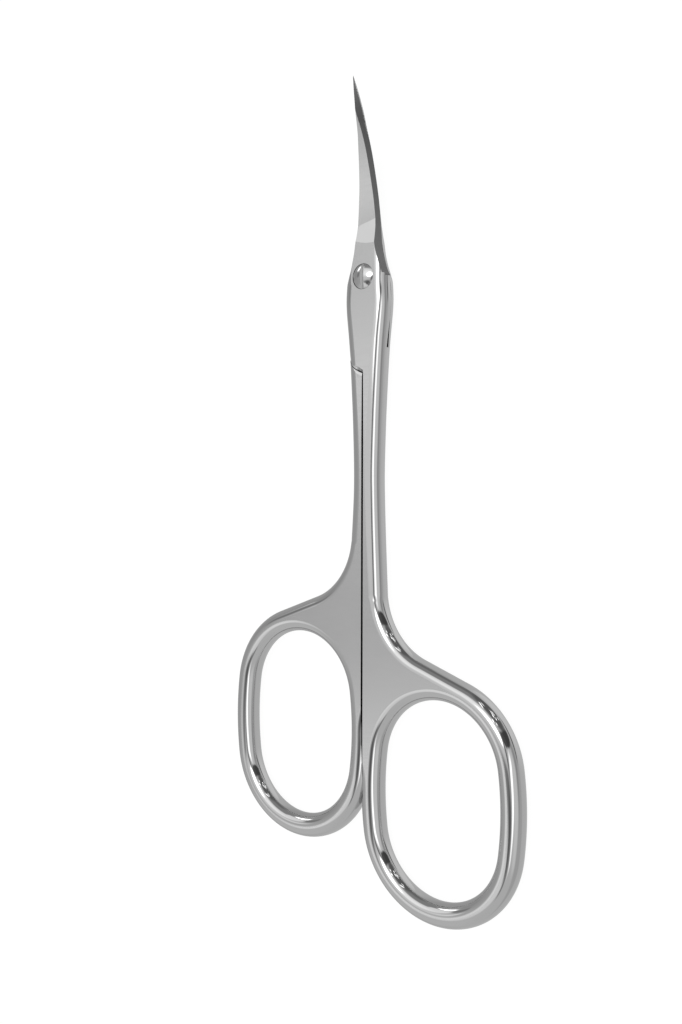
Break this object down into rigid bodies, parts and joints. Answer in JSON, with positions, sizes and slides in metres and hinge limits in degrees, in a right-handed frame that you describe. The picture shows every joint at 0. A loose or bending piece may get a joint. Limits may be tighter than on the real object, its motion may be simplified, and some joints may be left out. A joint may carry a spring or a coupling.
{
  "type": "cuticle scissors",
  "caption": "Slim steel cuticle scissors: lapped halves on a slotted pivot screw, fine upturned blades, long arms and oval finger rings set at unlike heights.",
  "frame": {"origin": "under the middle of the closed scissors' bounding box, on the surface that their back rests on", "axes": "+Y along the seam towards the blade tips, +X towards the lower finger ring, +Z out of the front face, where the screw head is and the blades curve to"},
  "size_m": [0.0488, 0.1122, 0.0056],
  "materials": {
    "satin_steel": "fine satin faces with mirror-polished rounded edges",
    "bright_steel": "polished"
  },
  "bodies": {
    "back": {"back_half": "satin_steel", "pivot_screw": "bright_steel"},
    "front": {"front_half": "satin_steel"}
  },
  "joints": [
    {"name": "pivot", "type": "hinge", "parent": "back", "child": "front", "pos_m": [0, 0.02962, 0.0016], "axis": [0, 0, 1], "range_deg": [0, 60]}
  ]
}
